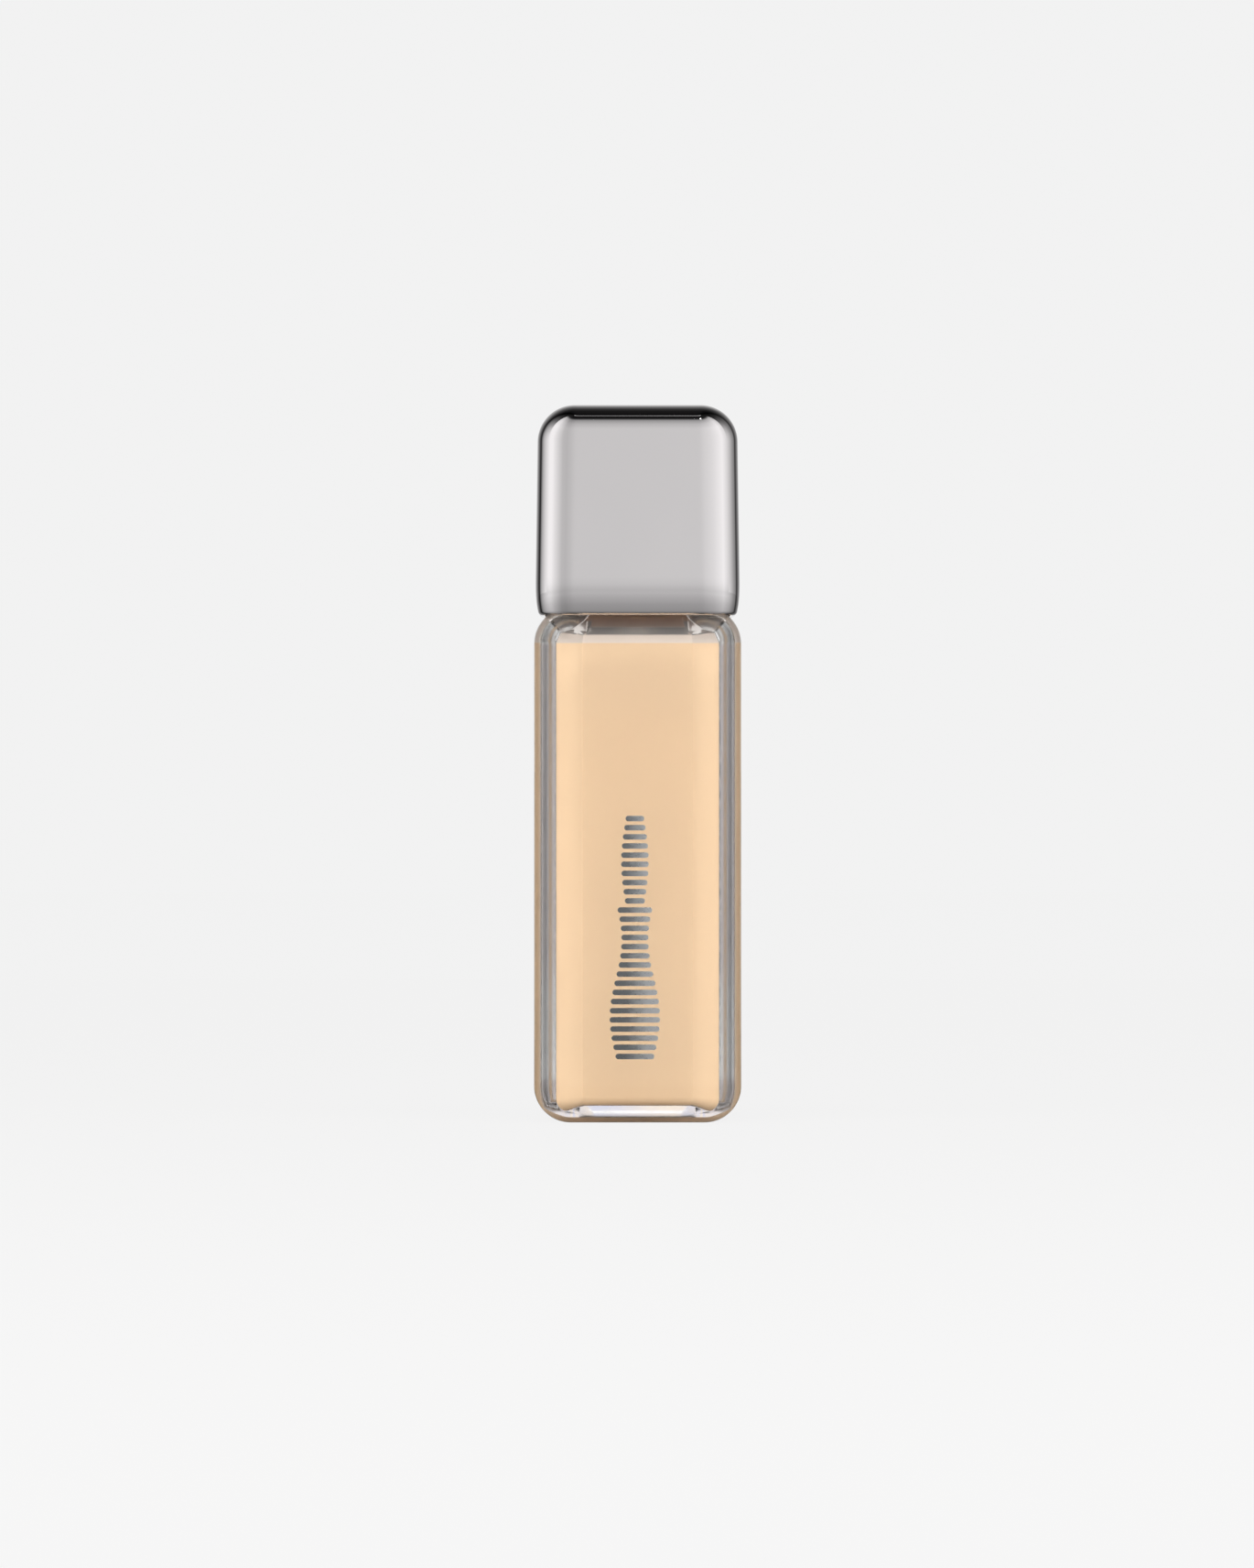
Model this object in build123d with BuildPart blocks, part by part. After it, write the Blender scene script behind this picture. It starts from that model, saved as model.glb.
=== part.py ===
from build123d import *

import os
from math import asin, atan2, cos, degrees, pi, radians, sin, sqrt, tan

# A square foundation bottle in thick clear glass, with a treatment pump under a pull-off metallised cap.
# Millimetres. +Z is up, the origin is the centre of the base, and -Y is the front, where the decoration is
# and the spout points.

# ---------------------------------------------------------------- driving dimensions: glass
body_width = 30.0
plan_radius = 5.45
base_round = 5.3
shoulder_round = 5.3
shoulder_z = 74.6

cavity_width = 21.6
cavity_chamfer = 2.85
cavity_floor_z = 3.35
cavity_floor_round = 1.0
cavity_wall_top_z = 69.35
cavity_bevel = 0.4
cavity_bevel_top_z = 70.2
cavity_roof_z = 71.3

label_recess_radius = 8.6
label_recess_depth = 1.0
label_thickness = 0.12
label_margin = 0.4

neck_radius = 8.0
neck_bore_radius = 5.9
neck_foot = 0.6
neck_root_depth = 1.0
rim_z = 82.0
rim_round = 0.5
bead_radius = 8.7
bead_bottom_z = 79.3
bead_height = 1.2
bead_lower_edge = 0.2
bead_upper_edge = 0.6

# ---------------------------------------------------------------- driving dimensions: pump
press_fit_gap = 0.02
running_gap = 0.05

gasket_thickness = 0.7
gasket_radius = 7.9

housing_flange_radius = 7.8
housing_flange_thickness = 0.8
barrel_radius = 4.6
barrel_bore = 3.8
ledge_z = 58.0
ledge_thickness = 1.0
barrel_cone_length = 1.0
chamber_radius = 2.9
chamber_bore = 2.1
seat_top_z = 53.4
seat_bottom_z = 52.2
inlet_bore = 1.1
chamber_bottom_z = 50.4
tail_radius = 2.3
tail_bottom_z = 44.0

ball_radius = 1.6
ball_lift = 0.8
nib_count = 4
nib_reach = 1.35
nib_width = 0.8
nib_height = 0.8
nib_root = 0.2
nib_gap = 0.1

dip_tube_radius = 1.55
dip_tube_bore = 1.05
dip_tube_floor_gap = 1.1
dip_tube_cut_degrees = 25

stroke = 4.5
piston_lag = 0.6
rod_head_bottom_z = 66.2
rod_head_radius = 2.4
rod_head_height = 1.4
rod_head_rim = 0.8
rod_head_collar = 0.2
rod_shank_radius = 1.2
rod_shank_top_z = 77.0
rod_boss_radius = 1.9
rod_boss_length = 1.2
rod_boss_chamfer = 0.4
groove_count = 4
groove_width = 0.5
groove_depth = 0.4

piston_sleeve_wall = 0.65
piston_sleeve_length = 4.3
piston_foot_wall = 0.45
piston_foot_height = 0.5
piston_web_bottom = 1.7
piston_web_top = 2.7
piston_height = 4.7
piston_skirt = 0.3
lip_tip = 0.4
lip_root = 0.6
lip_land = 0.6
lip_relief = 0.15
lower_lip_top = 1.0
upper_lip_bottom = 3.4

spring_wire_radius = 0.25
spring_coil_radius = 2.85
spring_turns = 6

stem_radius = 2.2
stem_top_z = 94.2
stem_flange_radius = 3.2
stem_flange_thickness = 1.2

guide_bottom_z = 80.0
guide_tower_radius = 3.3
guide_tower_height = 2.8
guide_flange_radius = 4.3
guide_tip_chamfer = 0.3

closure_radius = 10.5
closure_bore = 8.95
closure_bottom_z = 75.4
closure_top_thickness = 0.9
snap_radius = 8.2
snap_height = 1.2
snap_gap = 0.1

sleeve_radius = 11.2
sleeve_wall = 0.65
sleeve_bottom_z = 75.1
sleeve_hole_radius = 3.6
sleeve_hole_round = 0.25
sleeve_top_round = 0.55

# ---------------------------------------------------------------- driving dimensions: pump head
head_core_radius = 6.3
head_shell_radius = 6.9
head_bottom_gap = 0.3
head_core_top_z = 97.8
head_top_z = 98.9
head_top_round = 0.9
head_skirt_radius = 5.5
head_boss_radius = 3.4
head_hollow_top_z = 94.7
spout_z = 95.8
spout_root_radius = 1.9
spout_tip_radius = 1.6
spout_tip_round = 0.35
spout_reach = 10.3
channel_radius = 0.75
nozzle_radius = 1.1
nozzle_bore = 0.5
nozzle_depth = 2.0
nozzle_lip_radius = 1.3
nozzle_lip = 0.15
dish_radius = 20.0
dish_depth = 0.5

# ---------------------------------------------------------------- driving dimensions: cap
cap_bottom_z = 73.4
cap_top_z = 103.9
cap_width_bottom = 29.7
cap_width_top = 28.75
cap_plan_radius = 5.6
cap_top_round = 5.4
cap_rim_round = 1.15
cap_wall = 1.4
cap_inner_round = 3.8

liner_bore = 11.45
liner_wall = 0.95
liner_bottom_z = 75.2
liner_flange_bottom_z = 85.6
liner_flange_thickness = 1.0
liner_rib_count = 12
liner_rib_gap = 0.05
liner_rib_root = 0.15
liner_rib_bottom_gap = 0.5
liner_rib_top_gap = 1.0

# ---------------------------------------------------------------- driving dimensions: decoration
foil_thickness = 0.04
foil_bottom_z = 9.7
foil_axis_x = -0.4
bar_height = 0.8
bar_pitch = 1.32
bar_count = 27
wide_bar_count = 17
wide_bar_length = 5.6
wide_bar_swing = 1.7
narrow_bar_length = 2.9
narrow_bar_swing = 1.1

# ---------------------------------------------------------------- derived heights and radii
gasket_top_z = rim_z + gasket_thickness
housing_top_z = gasket_top_z + housing_flange_thickness
closure_top_z = housing_top_z + closure_top_thickness
sleeve_top_z = closure_top_z + sleeve_wall
guide_top_z = closure_top_z + guide_tower_height
head_bottom_z = sleeve_top_z + stroke + head_bottom_gap
head_boss_bottom_z = guide_top_z + stroke + head_bottom_gap
barrel_cone_top_z = ledge_z - ledge_thickness
barrel_cone_bottom_z = barrel_cone_top_z - barrel_cone_length
rod_head_top_z = rod_head_bottom_z + rod_head_height
piston_bottom_z = rod_head_top_z + running_gap
stem_bottom_z = piston_bottom_z + piston_sleeve_length + piston_lag + running_gap
guide_bore = stem_radius + running_gap
piston_radius = barrel_bore - running_gap
seat_slope = atan2(chamber_bore - inlet_bore, seat_top_z - seat_bottom_z)
seat_apex_z = seat_bottom_z - inlet_bore / tan(seat_slope)
ball_z = seat_apex_z + (ball_radius + press_fit_gap) / sin(seat_slope)
nib_bottom_z = ball_z + ball_radius * cos(asin(nib_reach / ball_radius)) + ball_lift + nib_gap
dip_tube_bottom_z = cavity_floor_z + dip_tube_floor_gap

os.makedirs("parts", exist_ok=True)


def cap_width_at(z):
    """Outer width of the tapering cap at height z."""
    share = (z - cap_bottom_z) / (cap_top_z - cap_bottom_z)
    return cap_width_bottom + (cap_width_top - cap_width_bottom) * share


# ---------------------------------------------------------------- shape of the cavity
# A square with its upright edges cut off and a rounded floor. Above the walls a narrow steep bevel, then a
# roof that rises gently to the bore of the neck.
cavity_half = cavity_width / 2
bevel_half = cavity_half - cavity_bevel
bevel_lean = degrees(atan2(cavity_bevel, cavity_bevel_top_z - cavity_wall_top_z))
roof_lean = degrees(atan2(bevel_half - neck_bore_radius, cavity_roof_z - cavity_bevel_top_z))
with BuildPart() as cavity:
    with BuildSketch(Plane.XY.offset(cavity_floor_z)) as cavity_plan:
        Rectangle(cavity_width, cavity_width)
        chamfer(cavity_plan.vertices(), cavity_chamfer)
    extrude(amount=cavity_wall_top_z - cavity_floor_z)
    fillet(cavity.edges().group_by(Axis.Z)[0], cavity_floor_round)
    with BuildSketch(Plane.XY.offset(cavity_wall_top_z)) as wall_top_plan:
        Rectangle(cavity_width, cavity_width)
        chamfer(wall_top_plan.vertices(), cavity_chamfer)
    extrude(amount=cavity_bevel_top_z - cavity_wall_top_z, taper=bevel_lean)
    with BuildSketch(Plane.XY.offset(cavity_bevel_top_z)) as bevel_top_plan:
        Rectangle(2 * bevel_half, 2 * bevel_half)
        chamfer(bevel_top_plan.vertices(), cavity_chamfer - cavity_bevel * (2 - sqrt(2)))
    extrude(amount=cavity_roof_z - cavity_bevel_top_z, taper=roof_lean)

# ---------------------------------------------------------------- bottle
# Thick-walled square glass. The bore of the neck opens into the top of the cavity's roof.
with BuildPart() as bottle:
    with BuildSketch():
        RectangleRounded(body_width, body_width, plan_radius)
    extrude(amount=shoulder_z)
    fillet(bottle.edges().group_by(Axis.Z)[-1], shoulder_round)
    fillet(bottle.edges().group_by(Axis.Z)[0], base_round)
    with BuildSketch(Plane.XZ):
        with BuildLine():
            Polyline(
                (0, shoulder_z - neck_root_depth),
                (neck_radius + neck_foot, shoulder_z - neck_root_depth),
                (neck_radius + neck_foot, shoulder_z),
                (neck_radius, shoulder_z + neck_foot),
                (neck_radius, bead_bottom_z),
                (bead_radius, bead_bottom_z + bead_lower_edge),
                (bead_radius, bead_bottom_z + bead_upper_edge),
                (neck_radius, bead_bottom_z + bead_height),
                (neck_radius, rim_z - rim_round),
                (neck_radius - rim_round, rim_z),
                (0, rim_z),
                close=True,
            )
        make_face()
    revolve(axis=Axis.Z)
    with BuildSketch(Plane.XY.offset(cavity_wall_top_z)):
        Circle(neck_bore_radius)
    extrude(amount=rim_z - cavity_wall_top_z, mode=Mode.SUBTRACT)
    with BuildSketch(Plane.XY):
        Circle(label_recess_radius)
    extrude(amount=label_recess_depth, mode=Mode.SUBTRACT)
    add(cavity.part, mode=Mode.SUBTRACT)
bottle.part.label = "bottle"
export_step(bottle.part, "parts/bottle.step")

# ---------------------------------------------------------------- foundation
# The liquid fills the cavity up to the foot of the neck's bore. The space of the pump body and the dip tube is
# cut out of it.
with BuildPart() as foundation_fill:
    add(cavity.part)
    with BuildSketch(Plane.XZ):
        with BuildLine():
            Polyline(
                (0, dip_tube_bottom_z - press_fit_gap),
                (dip_tube_radius + press_fit_gap, dip_tube_bottom_z - press_fit_gap),
                (dip_tube_radius + press_fit_gap, tail_bottom_z - press_fit_gap),
                (tail_radius + press_fit_gap, tail_bottom_z - press_fit_gap),
                (tail_radius + press_fit_gap, chamber_bottom_z - press_fit_gap),
                (chamber_radius + press_fit_gap, chamber_bottom_z - press_fit_gap),
                (chamber_radius + press_fit_gap, barrel_cone_bottom_z - press_fit_gap),
                (barrel_radius + press_fit_gap, barrel_cone_top_z - press_fit_gap),
                (barrel_radius + press_fit_gap, cavity_roof_z),
                (0, cavity_roof_z),
                close=True,
            )
        make_face()
    revolve(axis=Axis.Z, mode=Mode.SUBTRACT)
foundation_fill.part.label = "foundation_fill"
export_step(foundation_fill.part, "parts/foundation_fill.step")

# ---------------------------------------------------------------- decoration
# A column of rounded metallic-foil bars on the front face: a broad lower group and a narrow upper group. Their
# lengths rise and fall along a wave.
with BuildPart() as front_decoration:
    with BuildSketch(Plane.XZ.offset(body_width / 2)):
        for bar in range(bar_count):
            wave = sin(2 * pi * bar / wide_bar_count)
            if bar < wide_bar_count:
                bar_length = wide_bar_length + wide_bar_swing * wave
            else:
                bar_length = narrow_bar_length + narrow_bar_swing * wave
            with Locations((foil_axis_x, foil_bottom_z + bar * bar_pitch)):
                SlotOverall(bar_length, bar_height)
    extrude(amount=foil_thickness)
front_decoration.part.label = "front_decoration"
export_step(front_decoration.part, "parts/front_decoration.step")

# ---------------------------------------------------------------- label under the base
with BuildPart() as base_label:
    with BuildSketch(Plane.XY.offset(label_recess_depth)):
        Circle(label_recess_radius - label_margin)
    extrude(amount=-label_thickness)
base_label.part.label = "base_label"
export_step(base_label.part, "parts/base_label.step")

# ---------------------------------------------------------------- gasket on the rim of the neck
with BuildPart() as neck_gasket:
    with BuildSketch(Plane.XY.offset(rim_z)):
        Circle(gasket_radius)
        Circle(barrel_radius + press_fit_gap, mode=Mode.SUBTRACT)
    extrude(amount=gasket_thickness)
neck_gasket.part.label = "neck_gasket"
export_step(neck_gasket.part, "parts/neck_gasket.step")

# ---------------------------------------------------------------- pump housing
# One turned body: flange, barrel, tapered shoulder, ball chamber with its cone seat, and the tail that grips
# the dip tube. Small nibs above the ball limit its lift.
with BuildPart() as pump_housing:
    with BuildSketch(Plane.XZ):
        with BuildLine():
            Polyline(
                (barrel_bore, housing_top_z),
                (housing_flange_radius, housing_top_z),
                (housing_flange_radius, gasket_top_z),
                (barrel_radius, gasket_top_z),
                (barrel_radius, barrel_cone_top_z),
                (chamber_radius, barrel_cone_bottom_z),
                (chamber_radius, chamber_bottom_z),
                (tail_radius, chamber_bottom_z),
                (tail_radius, tail_bottom_z),
                (dip_tube_radius, tail_bottom_z),
                (dip_tube_radius, chamber_bottom_z),
                (inlet_bore, chamber_bottom_z),
                (inlet_bore, seat_bottom_z),
                (chamber_bore, seat_top_z),
                (chamber_bore, ledge_z),
                (barrel_bore, ledge_z),
                close=True,
            )
        make_face()
    revolve(axis=Axis.Z)
    with BuildSketch(Plane.XY.offset(nib_bottom_z)):
        with PolarLocations((nib_reach + chamber_bore + nib_root) / 2, nib_count):
            Rectangle(chamber_bore + nib_root - nib_reach, nib_width)
    extrude(amount=nib_height)
pump_housing.part.label = "pump_housing"
export_step(pump_housing.part, "parts/pump_housing.step")

# ---------------------------------------------------------------- stem guide
# The locking tower in the top of the housing. The stem slides in it, and its lower end stops the flange of the
# stem.
with BuildPart() as stem_guide:
    with BuildSketch(Plane.XZ):
        with BuildLine():
            Polyline(
                (guide_bore, guide_bottom_z),
                (barrel_bore, guide_bottom_z),
                (barrel_bore, housing_top_z),
                (guide_flange_radius, housing_top_z),
                (guide_flange_radius, closure_top_z),
                (guide_tower_radius, closure_top_z),
                (guide_tower_radius, guide_top_z - guide_tip_chamfer),
                (guide_tower_radius - guide_tip_chamfer, guide_top_z),
                (guide_bore, guide_top_z),
                close=True,
            )
        make_face()
    revolve(axis=Axis.Z)
stem_guide.part.label = "stem_guide"
export_step(stem_guide.part, "parts/stem_guide.step")

# ---------------------------------------------------------------- dip tube
# Pushed into the tail of the housing up to the inlet, with its foot cut at a slant just above the floor.
with BuildPart() as dip_tube:
    with BuildSketch(Plane.XY.offset(dip_tube_bottom_z)):
        Circle(dip_tube_radius)
        Circle(dip_tube_bore, mode=Mode.SUBTRACT)
    extrude(amount=chamber_bottom_z - dip_tube_bottom_z)
    slant = Plane(
        origin=(0, 0, dip_tube_bottom_z + dip_tube_radius * tan(radians(dip_tube_cut_degrees))),
        z_dir=(sin(radians(dip_tube_cut_degrees)), 0, cos(radians(dip_tube_cut_degrees))),
    )
    split(bisect_by=slant, keep=Keep.TOP)
dip_tube.part.label = "dip_tube"
export_step(dip_tube.part, "parts/dip_tube.step")

# ---------------------------------------------------------------- ball valve
with BuildPart(Plane.XY.offset(ball_z)) as ball_valve:
    Sphere(ball_radius)
ball_valve.part.label = "ball_valve"
export_step(ball_valve.part, "parts/ball_valve.step")

# ---------------------------------------------------------------- return spring
# Stands on the ledge in the housing and lifts the head of the piston rod.
spring_foot_z = ledge_z + spring_wire_radius + running_gap
spring_length = rod_head_bottom_z - spring_wire_radius - running_gap - spring_foot_z
with BuildPart() as return_spring:
    with BuildLine() as coil:
        Helix(spring_length / spring_turns, spring_length, spring_coil_radius, center=(0, 0, spring_foot_z))
    with BuildSketch(Plane(origin=coil.line @ 0, z_dir=coil.line % 0)):
        Circle(spring_wire_radius)
    sweep(path=coil.line.edge(), is_frenet=True)
return_spring.part.label = "return_spring"
export_step(return_spring.part, "parts/return_spring.step")

# ---------------------------------------------------------------- piston rod
# A cone head that seals the piston's foot, and a fluted shank pushed up into the stem's bore.
with BuildPart() as piston_rod:
    with BuildSketch(Plane.XZ):
        with BuildLine():
            Polyline(
                (0, rod_head_bottom_z - rod_boss_length),
                (rod_boss_radius - rod_boss_chamfer, rod_head_bottom_z - rod_boss_length),
                (rod_boss_radius, rod_head_bottom_z - rod_boss_length + rod_boss_chamfer),
                (rod_boss_radius, rod_head_bottom_z),
                (rod_head_radius, rod_head_bottom_z),
                (rod_head_radius, rod_head_bottom_z + rod_head_rim),
                (rod_shank_radius + rod_head_collar, rod_head_top_z),
                (rod_shank_radius, rod_head_top_z),
                (rod_shank_radius, rod_shank_top_z),
                (0, rod_shank_top_z),
                close=True,
            )
        make_face()
    revolve(axis=Axis.Z)
    with BuildSketch(Plane.XY.offset(rod_head_top_z + rod_head_collar)):
        with PolarLocations(rod_shank_radius, groove_count):
            Rectangle(2 * groove_depth, groove_width)
    extrude(amount=rod_shank_top_z - rod_head_top_z, mode=Mode.SUBTRACT)
piston_rod.part.label = "piston_rod"
export_step(piston_rod.part, "parts/piston_rod.step")

# ---------------------------------------------------------------- piston
# Two thin lips wipe the barrel. The sleeve slides a little on the rod and seals against its cone head.
piston_bore = rod_shank_radius + running_gap
sleeve_outer = piston_bore + piston_sleeve_wall
with BuildPart() as piston:
    with BuildSketch(Plane.XZ):
        with BuildLine():
            Polyline(
                (piston_bore, piston_bottom_z),
                (piston_bore + piston_foot_wall, piston_bottom_z),
                (sleeve_outer, piston_bottom_z + piston_foot_height),
                (sleeve_outer, piston_bottom_z + piston_web_bottom),
                (piston_radius - lip_root, piston_bottom_z + piston_web_bottom),
                (piston_radius - lip_tip, piston_bottom_z - piston_skirt),
                (piston_radius, piston_bottom_z - piston_skirt),
                (piston_radius, piston_bottom_z - piston_skirt + lip_land),
                (piston_radius - lip_relief, piston_bottom_z + lower_lip_top),
                (piston_radius - lip_relief, piston_bottom_z + upper_lip_bottom),
                (piston_radius, piston_bottom_z + piston_height - lip_land),
                (piston_radius, piston_bottom_z + piston_height),
                (piston_radius - lip_tip, piston_bottom_z + piston_height),
                (piston_radius - lip_root, piston_bottom_z + piston_web_top),
                (sleeve_outer, piston_bottom_z + piston_web_top),
                (sleeve_outer, piston_bottom_z + piston_sleeve_length),
                (piston_bore, piston_bottom_z + piston_sleeve_length),
                close=True,
            )
        make_face()
    revolve(axis=Axis.Z)
piston.part.label = "piston"
export_step(piston.part, "parts/piston.step")

# ---------------------------------------------------------------- stem
with BuildPart() as stem:
    with BuildSketch(Plane.XY.offset(stem_bottom_z)):
        Circle(stem_radius)
    extrude(amount=stem_top_z - stem_bottom_z)
    with BuildSketch(Plane.XY.offset(guide_bottom_z - running_gap)):
        Circle(stem_flange_radius)
    extrude(amount=-stem_flange_thickness)
    with BuildSketch(Plane.XY.offset(stem_bottom_z)):
        Circle(rod_shank_radius)
    extrude(amount=stem_top_z - stem_bottom_z, mode=Mode.SUBTRACT)
stem.part.label = "stem"
export_step(stem.part, "parts/stem.step")

# ---------------------------------------------------------------- pump closure
# Snaps over the bead of the neck and clamps the housing's flange on the gasket.
snap_top_z = bead_bottom_z - snap_gap
with BuildPart() as pump_closure:
    with BuildSketch(Plane.XZ):
        with BuildLine():
            Polyline(
                (guide_flange_radius, housing_top_z),
                (closure_bore, housing_top_z),
                (closure_bore, snap_top_z),
                (snap_radius, snap_top_z),
                (snap_radius, snap_top_z - snap_height / 2),
                (closure_bore, snap_top_z - snap_height),
                (closure_bore, closure_bottom_z),
                (closure_radius, closure_bottom_z),
                (closure_radius, closure_top_z),
                (guide_flange_radius, closure_top_z),
                close=True,
            )
        make_face()
    revolve(axis=Axis.Z)
pump_closure.part.label = "pump_closure"
export_step(pump_closure.part, "parts/pump_closure.step")

# ---------------------------------------------------------------- collar sleeve
# Thin metallised cover pressed over the closure, with a rolled top edge.
with BuildPart() as collar_sleeve:
    with BuildSketch(Plane.XY.offset(sleeve_bottom_z)):
        Circle(sleeve_radius)
    extrude(amount=sleeve_top_z - sleeve_bottom_z)
    fillet(collar_sleeve.edges().group_by(Axis.Z)[-1], sleeve_top_round)
    with BuildSketch(Plane.XY.offset(sleeve_bottom_z)):
        Circle(closure_radius)
    extrude(amount=closure_top_z - sleeve_bottom_z, mode=Mode.SUBTRACT)
    with BuildSketch(Plane.XY.offset(closure_top_z)):
        Circle(sleeve_hole_radius)
    extrude(amount=sleeve_wall, mode=Mode.SUBTRACT)
    fillet(collar_sleeve.edges().group_by(Axis.Z)[-1].sort_by(SortBy.RADIUS)[0], sleeve_hole_round)
collar_sleeve.part.label = "collar_sleeve"
export_step(collar_sleeve.part, "parts/collar_sleeve.step")

# ---------------------------------------------------------------- actuator
# The pump head's core: skirt, socket for the stem, product channel and spout. A pad below the spout fills the
# slot of the outer shell.
with BuildPart() as actuator:
    with BuildSketch(Plane.XY.offset(head_bottom_z)):
        Circle(head_core_radius)
    extrude(amount=head_core_top_z - head_bottom_z)
    with BuildSketch(Plane.XY.offset(head_bottom_z)):
        Circle(head_shell_radius)
        with Locations((0, -head_shell_radius)):
            Rectangle(2 * spout_root_radius, 2 * head_shell_radius, mode=Mode.INTERSECT)
    extrude(amount=spout_z - head_bottom_z)
    with BuildSketch(Plane.XY.offset(head_bottom_z)):
        Circle(head_skirt_radius)
    extrude(amount=head_hollow_top_z - head_bottom_z, mode=Mode.SUBTRACT)
    with BuildSketch(Plane.XY.offset(head_boss_bottom_z)):
        Circle(head_boss_radius)
    extrude(amount=head_hollow_top_z - head_boss_bottom_z)
    with BuildSketch(Plane(origin=(0, -head_skirt_radius, spout_z), z_dir=(0, -1, 0))):
        Circle(spout_root_radius)
    with BuildSketch(Plane(origin=(0, -spout_reach, spout_z), z_dir=(0, -1, 0))):
        Circle(spout_tip_radius)
    loft()
    fillet(actuator.edges().group_by(Axis.Y)[0], spout_tip_round)
    with BuildSketch(Plane.XY.offset(head_boss_bottom_z)):
        Circle(stem_radius)
    extrude(amount=stem_top_z - head_boss_bottom_z, mode=Mode.SUBTRACT)
    with BuildSketch(Plane.XY.offset(stem_top_z)):
        Circle(rod_shank_radius)
    extrude(amount=spout_z - stem_top_z, mode=Mode.SUBTRACT)
    with BuildSketch(Plane(origin=(0, 0, spout_z), z_dir=(0, -1, 0))):
        Circle(channel_radius)
    extrude(amount=spout_reach, mode=Mode.SUBTRACT)
    with BuildSketch(Plane(origin=(0, -spout_reach, spout_z), z_dir=(0, -1, 0))):
        Circle(nozzle_radius)
    extrude(amount=-nozzle_depth, mode=Mode.SUBTRACT)
actuator.part.label = "actuator"
export_step(actuator.part, "parts/actuator.step")

# ---------------------------------------------------------------- actuator shell
# Metallised cup over the head's core, open below the spout, with a shallow dish for the fingertip.
with BuildPart() as actuator_shell:
    with BuildSketch(Plane.XY.offset(head_bottom_z)):
        Circle(head_shell_radius)
    extrude(amount=head_top_z - head_bottom_z)
    fillet(actuator_shell.edges().group_by(Axis.Z)[-1], head_top_round)
    with BuildSketch(Plane.XY.offset(head_bottom_z)):
        Circle(head_core_radius)
    extrude(amount=head_core_top_z - head_bottom_z, mode=Mode.SUBTRACT)
    with BuildSketch(Plane.XZ.offset(head_core_radius / 2)):
        with Locations((0, (head_bottom_z + spout_z) / 2)):
            Rectangle(2 * spout_root_radius, spout_z - head_bottom_z)
        with Locations((0, spout_z)):
            Circle(spout_root_radius)
    extrude(amount=head_shell_radius, mode=Mode.SUBTRACT)
    with Locations((0, 0, head_top_z - dish_depth + dish_radius)):
        Sphere(dish_radius, mode=Mode.SUBTRACT)
actuator_shell.part.label = "actuator_shell"
export_step(actuator_shell.part, "parts/actuator_shell.step")

# ---------------------------------------------------------------- nozzle insert
with BuildPart() as nozzle_insert:
    with BuildSketch(Plane(origin=(0, -spout_reach, spout_z), z_dir=(0, -1, 0))):
        Circle(nozzle_lip_radius)
    extrude(amount=nozzle_lip)
    with BuildSketch(Plane(origin=(0, -spout_reach, spout_z), z_dir=(0, -1, 0))):
        Circle(nozzle_radius)
    extrude(amount=-nozzle_depth)
    with BuildSketch(Plane(origin=(0, -spout_reach - nozzle_lip, spout_z), z_dir=(0, -1, 0))):
        Circle(nozzle_bore)
    extrude(amount=-nozzle_lip - nozzle_depth, mode=Mode.SUBTRACT)
nozzle_insert.part.label = "nozzle_insert"
export_step(nozzle_insert.part, "parts/nozzle_insert.step")

# ---------------------------------------------------------------- shape of the hollow in the cap
cap_ceiling_z = cap_top_z - cap_wall
hollow_width_bottom = cap_width_bottom - 2 * cap_wall
hollow_width_top = cap_width_at(cap_ceiling_z) - 2 * cap_wall
hollow_plan_radius = cap_plan_radius - cap_wall
with BuildPart() as cap_hollow:
    with BuildSketch(Plane.XY.offset(cap_bottom_z)):
        RectangleRounded(hollow_width_bottom, hollow_width_bottom, hollow_plan_radius)
    with BuildSketch(Plane.XY.offset(cap_ceiling_z)):
        RectangleRounded(hollow_width_top, hollow_width_top, hollow_plan_radius)
    loft(ruled=True)
    fillet(cap_hollow.edges().group_by(Axis.Z)[-1], cap_inner_round)

# ---------------------------------------------------------------- cap shell
# Square, slightly tapering, metallised moulding with a large rounded top and a rounded rim. The rim hangs
# round the shoulder of the glass.
with BuildPart() as cap_shell:
    with BuildSketch(Plane.XY.offset(cap_bottom_z)):
        RectangleRounded(cap_width_bottom, cap_width_bottom, cap_plan_radius)
    with BuildSketch(Plane.XY.offset(cap_top_z)):
        RectangleRounded(cap_width_top, cap_width_top, cap_plan_radius)
    loft(ruled=True)
    fillet(cap_shell.edges().group_by(Axis.Z)[-1], cap_top_round)
    fillet(cap_shell.edges().group_by(Axis.Z)[0], cap_rim_round)
    add(cap_hollow.part, mode=Mode.SUBTRACT)
cap_shell.part.label = "cap_shell"
export_step(cap_shell.part, "parts/cap_shell.step")

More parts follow.
